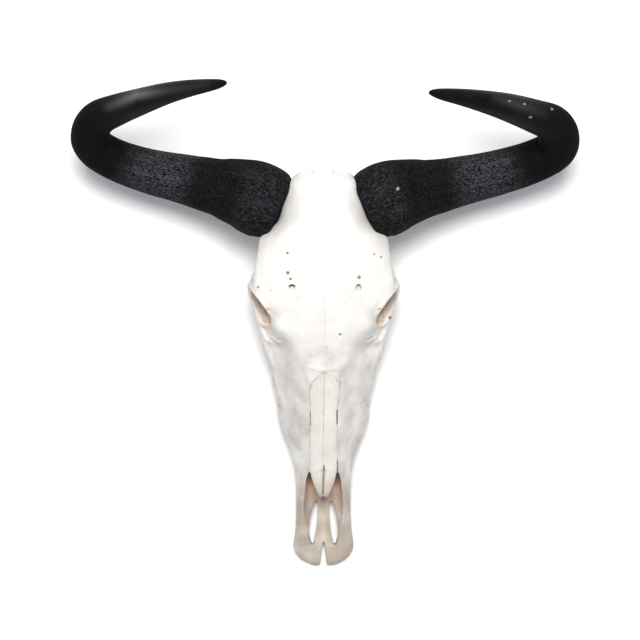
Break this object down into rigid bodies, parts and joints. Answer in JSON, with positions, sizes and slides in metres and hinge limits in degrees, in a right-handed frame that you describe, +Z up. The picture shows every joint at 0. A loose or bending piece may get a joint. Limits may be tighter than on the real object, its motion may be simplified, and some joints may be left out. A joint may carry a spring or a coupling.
{
  "type": "wildebeest skull",
  "caption": "Cleaned wildebeest skull with upper cheek teeth and wide horns that dip, hook up and turn in, lying on its teeth without the lower jaw.",
  "frame": {"origin": "the middle of the outline seen from above, on the surface that the skull rests on", "axes": "+X to the animal's left-right, along the horn spread; +Y towards the back of the head, so that the snout points to -Y; +Z up"},
  "size_m": [0.6043, 0.5722, 0.2749],
  "materials": {
    "bone": "bleached, dry and slightly porous bone, warmer on the nasals and in the hollows",
    "horn": "weathered near-black keratin with fine lengthwise fibres and grey dusty streaks",
    "enamel": "cream tooth enamel with browner folds on the worn crowns"
  },
  "bodies": {
    "root": {"skull": "bone", "left_horn": "horn", "right_horn": "horn", "left_premolar_2": "enamel", "left_premolar_3": "enamel", "left_premolar_4": "enamel", "left_molar_1": "enamel", "left_molar_2": "enamel", "left_molar_3": "enamel", "right_premolar_2": "enamel", "right_premolar_3": "enamel", "right_premolar_4": "enamel", "right_molar_1": "enamel", "right_molar_2": "enamel", "right_molar_3": "enamel"}
  },
  "joints": []
}
